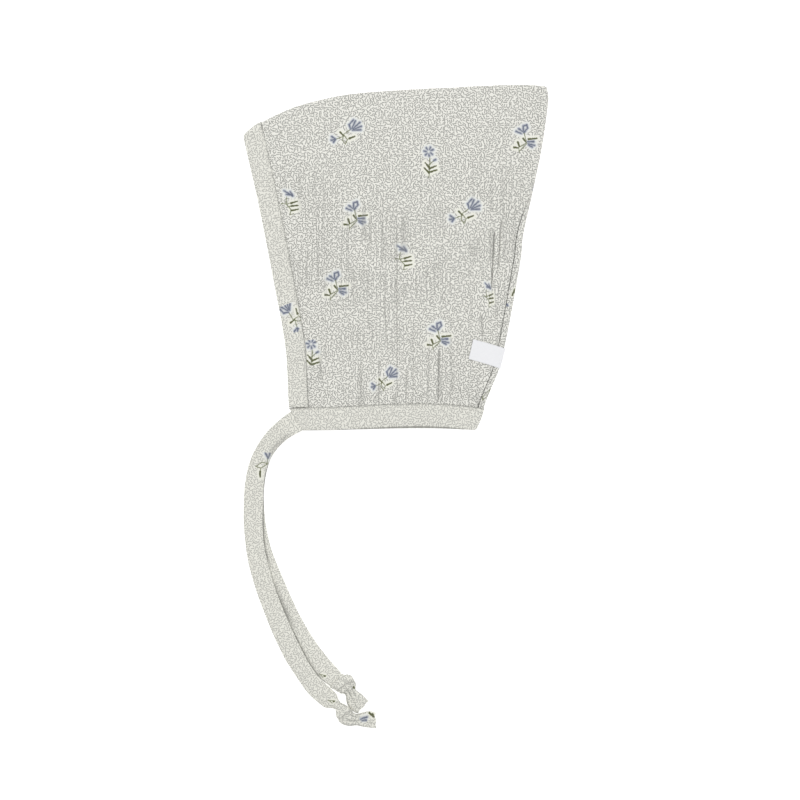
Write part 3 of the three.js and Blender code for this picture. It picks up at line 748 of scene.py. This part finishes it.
# The far side panel
# One of the two side panels of crinkled double gauze. It lies on the surface and turns up into the
# seam over the crown and down the back, where the seam is rolled a little onto the near side.
CROWN_LENGTH = 182.0
FACE_HEIGHT = 176.0
CROWN_RISE = 30.5
NECK_LENGTH = 113.5
NECK_SETBACK = 28.0
FACE_BOW = 5.2
CROWN_BOW = 15.0
BACK_BOW = 4.5
SEAM_GAP = 3.2
SEAM_LEVEL = 4.1
RIM = 2.8
HOLLOW_HEIGHT = 12.0
HOLLOW_RUN = 45.0
MOUTH_HEIGHT = 8.0
SEAM_ROLL = 3.5
TURN_ROOM = 6.2
FLAT_MARGIN = 13.8
SAG_RUN = 14.0
BINDING_WIDTH = 12.0
BAND_WIDTH = 13.5
BAND_END_SLANT = 8.0
NAPE_END_SLANT = 3.0
NAPE_END_RUN = 14.0
NEAR_NECK_ARCH = 2.6
FAR_NECK_ARCH = 1.4
NECK_ARCH_TOP = 45.0
NECK_ARCH_SKEW = 1.8
LAY_ROUNDS = 4
CLOTH_FIRST = 1.9
CLOTH_WALL = 0.8
SEAM_CLEARANCE = 0.15
FAR_COLUMNS = (120, 30)
FAR_ROWS = (100, 14)
QUARTER_ROLL = RIM * np.pi / 2
MOUTH_SHARE = (MOUTH_HEIGHT - SEAM_GAP) / (HOLLOW_HEIGHT - SEAM_GAP)

# How each edge of the cut bows from its chord, and how far down the back the seam is rolled over
face_edge_bow = {"along": [0, 0.12, 0.28, 0.5, 0.78, 0.95, 1], "share": [0, 0.45, 1, 0.85, 0.5, 0.1, 0]}
crown_edge_bow = {
    "along": [0, 0.066, 0.12, 0.19, 0.32, 0.42, 0.65, 0.91, 1],
    "share": [0, 0.46, 0.68, 0.88, 1, 0.96, 0.65, 0.26, 0],
}
back_edge_bow = {
    "along": [0, 0.07, 0.2, 0.5, 0.57, 0.79, 0.96, 1],
    "share": [0, 0, 1.05, 1, 0.7, 0.97, 0.6, 0],
}
seam_roll_share = {"along": [0, 0.6, 0.75, 1], "share": [1, 1, 0, 0]}

neck_front = np.array([0.0, 0.0])
neck_back = np.array([NECK_LENGTH, 0.0])
crown_front = np.array([-NECK_SETBACK, FACE_HEIGHT])
crown_back = np.array([CROWN_LENGTH - NECK_SETBACK, FACE_HEIGHT + CROWN_RISE])


def from_table(table, at):
    return through_rows(table["along"], table["share"], np.clip(at, 0, 1))


def bowed_edge(start, end, bow, table, at):
    """A point on an edge: along its chord, then out to the chord's left by the bow."""
    chord = end - start
    aside = np.array([-chord[1], chord[0]]) / np.hypot(*chord)
    return start + at[..., None] * chord + (bow * from_table(table, at))[..., None] * aside


def face_edge(v):
    return bowed_edge(neck_front, crown_front, -FACE_BOW, face_edge_bow, v)


def back_edge(v):
    return bowed_edge(neck_back, crown_back, -BACK_BOW, back_edge_bow, v)


def crown_edge(u):
    return bowed_edge(crown_front, crown_back, CROWN_BOW, crown_edge_bow, u)


def neck_edge(u):
    return neck_front + u[..., None] * (neck_back - neck_front)


def row_length(v):
    return np.linalg.norm(back_edge(v) - face_edge(v), axis=-1)


def column_length(u):
    return np.linalg.norm(crown_edge(u) - neck_edge(u), axis=-1)


def flat_cut(u, v):
    """A point of the flat cut: the four bowed edges blended, less the corners counted twice."""
    u_, v_ = u[..., None], v[..., None]
    point = neck_edge(u) * (1 - v_) + crown_edge(u) * v_ + face_edge(v) * (1 - u_) + back_edge(v) * u_
    point -= neck_front * (1 - u_) * (1 - v_) + neck_back * u_ * (1 - v_)
    return point - crown_front * (1 - u_) * v_ - crown_back * u_ * v_


def roll_at(arc, depth):
    """On the roll of cloth at a seam: how far in from the edge an arc lies, and the cosine of its
    turn, for cloth at a depth below the outer face."""
    turned = np.clip(arc, -QUARTER_ROLL, QUARTER_ROLL)
    angle = np.pi / 2 - turned / RIM
    return np.abs(arc - turned) + RIM - (RIM - depth) * np.sin(angle), np.cos(angle)


def eased(distance, run):
    return np.sin(np.clip(distance / run, 0, 1) * np.pi / 2)


def from_mouth(distance):
    return MOUTH_SHARE + (1 - MOUTH_SHARE) * eased(distance, HOLLOW_RUN)


foremost = face_edge(np.linspace(0, 1, 200))[:, 0].min()
lay_shift = np.array([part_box("front_binding")[0].x / MM - foremost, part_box("neck_band")[0].y / MM])


def lay(side, across, up, depth):
    """The place of cloth on the made-up bonnet, and its place on the flat cloth. Across gives the arc
    from the outermost line of the back seam, and up the arc from that of the crown seam, each from
    the length and height there and counted towards the flat cloth on the near side. The neck edge
    arches up a little, more on the near side, and its end at the nape leans in."""
    shape = np.broadcast(side, depth).shape
    u = np.full(shape, 0.5)
    v = np.full(shape, 0.5)
    for _ in range(LAY_ROUNDS):
        height = column_length(u)
        crown_arc = side * up(height)
        inset, up_cosine = roll_at(crown_arc, depth)
        v = 1 - inset / height
        width = row_length(v)
        back_arc = side * across(width, v)
        inset, across_cosine = roll_at(back_arc, depth)
        u = 1 - inset / width
        below = np.clip(1 - v * height / BAND_WIDTH, 0, 1)
        front = np.clip(1 - u * width / BINDING_WIDTH, 0, 1)
        nape = np.clip(1 - (1 - u) * width / NAPE_END_RUN, 0, 1)
        u = u + below * (BAND_END_SLANT * front - NAPE_END_SLANT * nape) / width
    flat_u = 1 - (side * back_arc - QUARTER_ROLL + RIM) / width
    flat_v = 1 - (side * crown_arc - QUARTER_ROLL + RIM) / height
    bulge = side * across_cosine * up_cosine
    from_face, from_back = u * width, np.maximum((1 - u) * width, 0)
    from_neck, from_crown = np.maximum(v * height, 0), np.maximum((1 - v) * height, 0)
    seams = eased(from_crown, HOLLOW_RUN) * eased(from_back, HOLLOW_RUN)
    lift = (HOLLOW_HEIGHT - SEAM_GAP) * seams * from_mouth(from_face) * from_mouth(from_neck)
    sag = (SEAM_LEVEL - RIM) * np.ones(shape)
    for distance in (from_face, from_back, from_neck, from_crown):
        sag = sag * ease(distance - FLAT_MARGIN, SAG_RUN)
    level = SEAM_LEVEL + (RIM - depth) * bulge + np.where(bulge > 0, lift, -sag)
    placed = flat_cut(u, v) + lay_shift
    skewed = np.clip(u, 0, 1) ** NECK_ARCH_SKEW
    arch = np.where(side > 0, NEAR_NECK_ARCH, FAR_NECK_ARCH) * np.sin(np.pi * skewed)
    placed[..., 1] += arch * (1 - ease(v * height - BAND_WIDTH, NECK_ARCH_TOP))
    cut = np.zeros((*shape, 3))
    cut[..., :2] = flat_cut(flat_u, flat_v) + lay_shift
    return np.concatenate([placed, level[..., None]], axis=-1), cut


def stations(flat_count, roll_count):
    """From 0 at the open edge to 1 where the cloth starts to turn, and on to 2 at the seam."""
    return np.r_[np.linspace(0, 1, flat_count), np.linspace(1, 2, roll_count)[1:]]


def arc_of(station, full, seam):
    """The arc of a station: from full at the open edge to where the cloth turns, then to the seam."""
    turn_start = QUARTER_ROLL + TURN_ROOM
    flat = full + (turn_start - full) * np.minimum(station, 1)
    return np.where(station <= 1, flat, turn_start + (seam - turn_start) * (station - 1))


def side_panel(name, side, columns, rows, relief, cut_offset, chart):
    """A panel of cloth: a grid of across and up stations laid at the outer face and again one wall
    below it, closed into a thin slab. Relief raises the outer face by a height of the flat cloth and
    gives the painted shade that its colour carries."""
    across_at, up_at = np.meshgrid(columns, rows)

    def across(width, v):
        seam = SEAM_CLEARANCE + side * (QUARTER_ROLL + SEAM_ROLL - RIM) * from_table(seam_roll_share, v)
        return arc_of(across_at, QUARTER_ROLL + width - RIM - CLOTH_FIRST, seam)

    def up(height):
        return arc_of(up_at, QUARTER_ROLL + height - RIM - CLOTH_FIRST, SEAM_CLEARANCE)

    flat_side = np.full(across_at.shape, float(side))
    _, cut = lay(flat_side, across, up, np.zeros(across_at.shape))
    height, painted_shade = relief(cut, across_at, up_at)
    outer, _ = lay(flat_side, across, up, -height)
    inner, _ = lay(flat_side, across, up, CLOTH_WALL - height)
    rings = np.concatenate([outer, inner[:, ::-1]], axis=1)
    shade = np.concatenate([painted_shade, painted_shade[:, ::-1]], axis=1)
    cloth_place = np.concatenate([cut, cut[:, ::-1]], axis=1)
    spot = sprigs_near(cloth_place, chart)
    return sewn(name, rings, {"cut": cloth_place + (cut_offset, 0, 0), "sprig": spot, "painted_shade": shade})


def seam_ditch(across_at, up_at):
    """The dip of the cloth into the seam at its edge, as a depth in millimetres."""
    return 0.3 * ease(across_at - 1.78, 0.22) + 0.3 * ease(up_at - 1.8, 0.2)


def far_relief(cut, across_at, up_at):
    """Low soft crinkle, the dip into the seams, and painted shade where the cloth turns into the seam."""
    fine = crumple(cut[..., 0], cut[..., 1], 2.6, 26, 71)
    under_edges = ease(across_at - 0.1, 0.06) * ease(up_at - 0.08, 0.05)
    height = 0.1 * fine * under_edges - seam_ditch(across_at, up_at)
    # Painted shade where the cloth turns into the seam
    return height, 0.1 * ease(across_at - 1.93, 0.07)


panel_cotton = printed_cotton(
    "crinkled print cotton", ground=(0.835, 0.83, 0.775), ink=(0.30, 0.30, 0.28), ink_share=1.0,
    crinkle_shade=0.34)
far_panel = side_panel(
    "gauze_panel_far", -1, stations(*FAR_COLUMNS), stations(*FAR_ROWS), far_relief, 500,
    [(5, 75.5, -20.7, 60, 1.0, 3.5), (7, 59.8, -82.4, 70, 0.9, 5.0), (6, 76.8, -28.3, 0, 1.0, 2.6),
     (6, 85.3, 42.0, 20, 0.8, 3.6), (2, -20.0, 20.0, 0, 1.0, 12.0), (3, 30.0, -30.0, 0, 1.0, 12.0),
     (1, 45.0, 62.0, 0, 1.0, 12.0), (4, -45.0, -50.0, 0, 1.0, 12.0), (3, -35.0, 75.0, 0, 1.0, 12.0)])
finish_piece(far_panel, panel_cotton, "panel_cloth", "side_panel_far")

# The near side panel
# The matching panel, uppermost in the photograph. The gauze is crinkled up and down in fine ridges,
# stronger towards the neck, and a few sharp creases stand in it.
CRINKLE_HEIGHT = 0.25
CRINKLE_WAVES = ((1.0, 2.1, 42, 21), (0.5, 1.2, 26, 22), (0.2, 4.6, 60, 23))
CRINKLE_TOP = 40.0
CRINKLE_RUN = 70.0
CREASE_HALF_WIDTH = 0.34
PUCKER_HEIGHT = 0.3
PUCKER_REACH = 16.0
NEAR_COLUMNS = (450, 22)
NEAR_ROWS = (84, 14)

# Creases of the near panel in millimetres: lower end, upper end, depth and how dark the painted shade in the
# fold is
creases = {
    "low_x": [0.6, -4.8, -15.6, -25.4, -43.8, 57.0, 60.8, 51.8, 25.1, 6.1, 10.2, -10.2, 32.5, -20.5, 24.9],
    "low_y": [-91, -56.7, -48.3, -14.7, -74.7, -20.5, -8.9, -49.6, -91, -91, -91, -91, -91, -91, -19.5],
    "high_x": [0.6, -7.2, -16.8, -26.1, -46.2, 58.9, 63.4, 50.9, 25.7, 6.1, 10.2, -10.2, 32.7, -20.9, 25.2],
    "high_y": [22.5, -25.5, -33.9, -6.3, -58.5, 18.2, 25.1, -33.5, -53.3, -68, -42.3, -60, -43, -62, 0],
    "deep": [0.25, 0.25, 0.2, 0.2, 0.25, 0.42, 0.32, 0.3, 0.42, 0.26, 0.2, 0.25, 0.2, 0.2, 0.15],
    "dark": [0.45, 0.45, 0.35, 0.35, 0.4, 1.0, 0.75, 0.65, 1.0, 0.6, 0.35, 0.5, 0.35, 0.4, 0.3],
}


def near_relief(cut, across_at, up_at):
    """Fine upright crinkle of three widths, broad slack, the sharp creases and the dip at the seams, and
    painted shade in the creases and where the cloth turns into the seam.
    """
    x, y = cut[..., 0], cut[..., 1]
    sway = 1.1 * crumple(x, y, 30, 34, 3)
    ridges = crumples(x + sway, y, CRINKLE_WAVES)
    strength = 0.45 + 0.55 * ease(CRINKLE_TOP - y, CRINKLE_RUN)
    slack = 0.16 * crumple(x, y, 22, 46, 8)
    above_band = y - lay_shift[1] - BAND_WIDTH
    pucker = crumple(x, y, 2.3, 15, 55) * (1 - ease(above_band, PUCKER_REACH))
    height = CRINKLE_HEIGHT * ridges * strength + PUCKER_HEIGHT * pucker + slack
    shade = np.zeros(x.shape)
    for low_x, low_y, high_x, high_y, deep, dark in zip(*creases.values()):
        along = np.clip((y - low_y) / (high_y - low_y), 0, 1)
        aside = (x - low_x - (high_x - low_x) * along) / CREASE_HALF_WIDTH
        reach = ease(along, 0.08) * (1 - ease(along - 0.86, 0.14))
        body = reach * np.exp(-aside**2)
        shoulder = reach * np.exp(-((np.abs(aside) - 2.6) / 1.3) ** 2)
        height = height - deep * body + 0.3 * deep * shoulder
        # Painted shade along each crease
        shade = np.maximum(shade, dark * body)
    under_edges = ease(across_at - 0.095, 0.04) * ease(above_band - 0.2, 2.0)
    height = height * under_edges * (1 - 0.6 * ease(across_at - 1, 1)) - seam_ditch(across_at, up_at)
    # Painted shade where the cloth turns into the seam
    return height, np.maximum(shade * under_edges, 0.12 * ease(across_at - 1.93, 0.07))


near_chart = [
    (1, -30.0, 74.1, 0, 1.0, 13.0), (2, 19.2, 57.3, 0, 1.0, 13.0), (3, 76.8, 71.7, 0, 1.0, 13.0),
    (4, -63.6, 32.7, 0, 1.0, 11.0), (3, -24.6, 25.5, 0, 1.0, 13.0), (1, 40.8, 26.7, 0, 1.0, 13.0),
    (4, 4.2, -0.3, 0, 1.0, 12.0), (3, -36.0, -16.5, 0, 1.0, 13.0), (4, 55.2, -22.5, 0, 0.6, 11.0),
    (3, 25.2, -46.5, 0, 1.0, 13.0), (1, -7.2, -74.7, 0, 0.85, 12.0), (2, -51.0, -57.5, 0, 1.0, 9.0),
    (5, -7.2, -29.4, 80, 0.5, 1.5), (5, -6.6, -38.4, 70, 0.4, 1.2),
]
near_panel = side_panel(
    "gauze_panel_near", 1, stations(*NEAR_COLUMNS), stations(*NEAR_ROWS), near_relief, 0, near_chart)
finish_piece(near_panel, panel_cotton, "panel_cloth", "side_panel_near")

# The binding of the face edge
# One strip of the same cotton folded over the face edges of both panels, from the near side over the
# front of the crown seam and down the far side. It is stitched through close to its inner edge.
PANEL_MIDDLE = 0.6
BINDING_HALF = 1.75
BINDING_EDGE_HALF = 1.05
BINDING_WALL = 0.75
BINDING_EDGE_WALL = 0.36
BINDING_STITCH_IN = 1.3
BINDING_CROWN = 0.22
BINDING_DENT = 0.22
BINDING_FIRST = BAND_WIDTH + 0.3
BINDING_POINTS = (110, 34)
BINDING_PACE = 90
BINDING_GATHER = 0.11
BINDING_GATHERS = ((1.0, 4.2, 7, 61), (0.6, 2.1, 5, 62))
BINDING_SWAY = 0.22
EDGE_SHADE_RUN = 0.9
FOLD_POINTS = 9
FACE_POINTS = 15
END_PACE = 100
END_RUN = 9.0


def folded_section(width):
    """The section of cloth folded over an edge, as distances in from the fold and depths below the
    panel's face: out along the upper face, round the fold, back below, then the same inside."""
    run = np.linspace(1, 0, FACE_POINTS)
    inwards = BINDING_HALF + (width - BINDING_HALF) * run
    crown = BINDING_CROWN * np.sin(np.pi * run) ** 0.7
    dent = BINDING_DENT * np.exp(-((inwards - width + BINDING_STITCH_IN) / 0.45) ** 2)
    tall = BINDING_HALF + (BINDING_EDGE_HALF - BINDING_HALF) * run**3 + crown - dent
    slot = BINDING_HALF - BINDING_WALL
    wall = BINDING_WALL + (BINDING_EDGE_WALL - BINDING_WALL) * run**2
    inner_tall = np.clip(tall - wall, PANEL_MIDDLE + 0.03, slot)
    turn = np.linspace(0, np.pi, FOLD_POINTS + 2)[1:-1]
    outer, inner = (
        np.column_stack([
            np.r_[inwards, BINDING_HALF - half * np.sin(turn), inwards[::-1]],
            PANEL_MIDDLE + np.r_[-rise, -half * np.cos(turn), rise[::-1]]])
        for half, rise in ((BINDING_HALF, tall), (slot, inner_tall)))
    return np.vstack([outer, inner[::-1]])


def folded_strip(width, points, pace, gather_height, gathers, end_half):
    """The grids of a strip folded over an edge: stations from 2 at the near end over 0 at the seam to
    -2 at the far end, distances in from the fold, and depths, gathered along the strip and thinned
    at its ends. Also the columns of its two rows of stitches."""
    flat, round_seam = points
    section = folded_section(width)
    places = np.r_[np.linspace(2, 1, flat), np.linspace(1, -1, round_seam)[1:-1], np.linspace(-1, -2, flat)]
    signed, inwards = np.meshgrid(places, section[:, 0], indexing="ij")
    thin = 1 - (1 - end_half / BINDING_HALF) * (1 - ease((2 - np.abs(signed)) * END_PACE, END_RUN))
    depth = PANEL_MIDDLE + (section[:, 1] - PANEL_MIDDLE) * thin
    upper = np.where(depth < PANEL_MIDDLE, -1, 1)
    gather = crumples(signed * pace, inwards, gathers)
    depth = depth + upper * gather_height * gather * ease(inwards - 1.0, 4.0)
    column = int(np.argmin(np.abs(section[:FACE_POINTS, 0] - width + BINDING_STITCH_IN)))
    return signed, inwards, depth, (column, len(section) // 2 - 1 - column)


signed, inwards, depth, stitch_columns = folded_strip(
    BINDING_WIDTH, BINDING_POINTS, BINDING_PACE, BINDING_GATHER, BINDING_GATHERS, BINDING_HALF)
sway = crumple(signed * BINDING_PACE, 0.0, 9, 5, 63)
inwards = inwards + BINDING_SWAY * sway * ease(inwards, BINDING_WIDTH)
rings, cut = lay(
    np.where(signed >= 0, 1.0, -1.0), lambda width, v: QUARTER_ROLL + width - RIM - inwards,
    lambda height: arc_of(2 - np.abs(signed), QUARTER_ROLL + height - RIM - BINDING_FIRST, 0.0), depth)
binding_cotton = printed_cotton(
    "smooth binding cotton", ground=(0.805, 0.80, 0.735), ink=(0.33, 0.33, 0.31), ink_share=0.78)
# Painted shade along the binding's inner edge, stronger lower down, and a painted dark nick at the crown
# corner
inner_edge_shade = ease(inwards - BINDING_WIDTH + EDGE_SHADE_RUN, EDGE_SHADE_RUN)
lower_down = np.clip(np.abs(signed) - 1, 0, 1)
corner_nick_shade = 0.9 * np.exp(-(((signed - 0.4) / 0.22) ** 2))
front_marks = {
    "cut": cut + (700, 0, 0),
    "sprig": sprigs_near(cut, [(1, -62.3, -36.1, 85, 1.0, 9.5), (4, -63.6, 32.7, 0, 1.0, 11.0)]),
    "painted_shade": inner_edge_shade * np.clip(0.18 + 0.6 * lower_down + corner_nick_shade, 0, 1),
}
front_binding = sewn("face_binding", rings, front_marks)
finish_piece(front_binding, binding_cotton, "binding_cloth", "front_binding")
binding_stitches = stitch_row("binding_stitches", rings, stitch_columns, "binding_cloth")

# The neck band
# A second folded strip over the neck edge, carried round the nape from the near side to the far side.
# Its two ends thin down to the folded ties that run out of them.
BAND_POINTS = (90, 40)
BAND_PACE = 60
BAND_GATHER = 0.12
BAND_GATHERS = ((1.0, 3.4, 6, 81), (0.6, 1.8, 5, 82))
BAND_END_HALF = 1.15

signed, inwards, depth, stitch_columns = folded_strip(
    BAND_WIDTH, BAND_POINTS, BAND_PACE, BAND_GATHER, BAND_GATHERS, BAND_END_HALF)
rings, cut = lay(
    np.where(signed >= 0, 1.0, -1.0),
    lambda width, v: arc_of(2 - np.abs(signed), QUARTER_ROLL + width - RIM, 0.0),
    lambda height: QUARTER_ROLL + height - RIM - inwards, depth)
# Painted shade along the band's upper edge, and on the far band's fold where it shows below the near band
upper_edge_shade = ease(inwards - BAND_WIDTH + EDGE_SHADE_RUN, EDGE_SHADE_RUN)
far_fold_shade = np.where(signed < -0.9, 1 - ease(inwards - 1.0, 2.5), 0)
neck_marks = {
    "cut": cut + (900, 0, 0), "sprig": sprigs_near(cut, []),
    "painted_shade": np.maximum(0.72 * upper_edge_shade, 0.5 * far_fold_shade),
}
neck_band = sewn("nape_band", rings, neck_marks)
finish_piece(neck_band, binding_cotton, "binding_cloth", "neck_band")
band_stitches = stitch_row("band_stitches", rings, stitch_columns, "binding_cloth")

# The label
# A short white woven tape folded round the back seam, square to the slanting edge. It is bare.
LABEL_WIDTH = 12.5
LABEL_FRONT_REACH = 19.6
LABEL_BACK_REACH = 11.0
LABEL_RISE = 45.0
LABEL_LEAN = 0.25
LABEL_WALL = 0.4
LABEL_OFF_CLOTH = 0.42
LABEL_FRONT_POINTS = 34
LABEL_ROLL_POINTS = 22
LABEL_BACK_POINTS = 16
LABEL_ROWS = 30
LABEL_TINTS = ((0.83, 0.835, 0.86), (0.89, 0.895, 0.91))

label_arcs = np.r_[
    np.linspace(LABEL_FRONT_REACH - RIM + QUARTER_ROLL, QUARTER_ROLL, LABEL_FRONT_POINTS),
    np.linspace(QUARTER_ROLL, -QUARTER_ROLL, LABEL_ROLL_POINTS)[1:],
    np.linspace(-QUARTER_ROLL, -(QUARTER_ROLL + LABEL_BACK_REACH - RIM), LABEL_BACK_POINTS)[1:],
]
label_lines = np.linspace(-0.5, 0.5, LABEL_ROWS)
arc_grid, line_grid = np.meshgrid(label_arcs, label_lines)
neck_to_crown = float(column_length(np.array([1.0]))[0])


def label_place(depth):
    """A point of the label from its arc round the back seam and its place across the tape."""
    inset, _ = roll_at(arc_grid, depth)
    climb = LABEL_RISE + line_grid * LABEL_WIDTH + inset * LABEL_LEAN
    placed, _ = lay(
        np.ones(arc_grid.shape), lambda width, v: arc_grid,
        lambda height: QUARTER_ROLL + height - RIM - climb * height / neck_to_crown, depth)
    return placed


tape_rise = 0.16 * crumple(arc_grid, line_grid * LABEL_WIDTH, 5, 5, 90)
front_lift = 0.35 * ease(arc_grid - LABEL_FRONT_REACH + 4, 5)
top = label_place(-LABEL_OFF_CLOTH - LABEL_WALL - tape_rise - front_lift)
under = label_place(-LABEL_OFF_CLOTH - tape_rise - front_lift)
tape = np.stack([arc_grid, line_grid * LABEL_WIDTH, 0 * arc_grid], axis=-1)
label = sewn(
    "bare_label", np.concatenate([top, under[:, ::-1]], axis=1),
    {"cut": np.concatenate([tape, tape[:, ::-1]], axis=1)})

label_tape, tree, shader = new_material(
    "white woven tape", {"Roughness": 0.75, "Specular IOR Level": 0.25, "Sheen Weight": 0.1})
ribs = grain(tree, arrow(tree, "MULTIPLY", mark_of(tree, "cut"), (0.15, 1.0, 0.0)), 3.2, 1.0)
tree.links.new(mixed(tree, ribs, *LABEL_TINTS), shader.inputs["Base Color"])
raised(tree, shader, ribs, 0.3, 0.0002)
finish_piece(label, label_tape, "label_tape", "label")
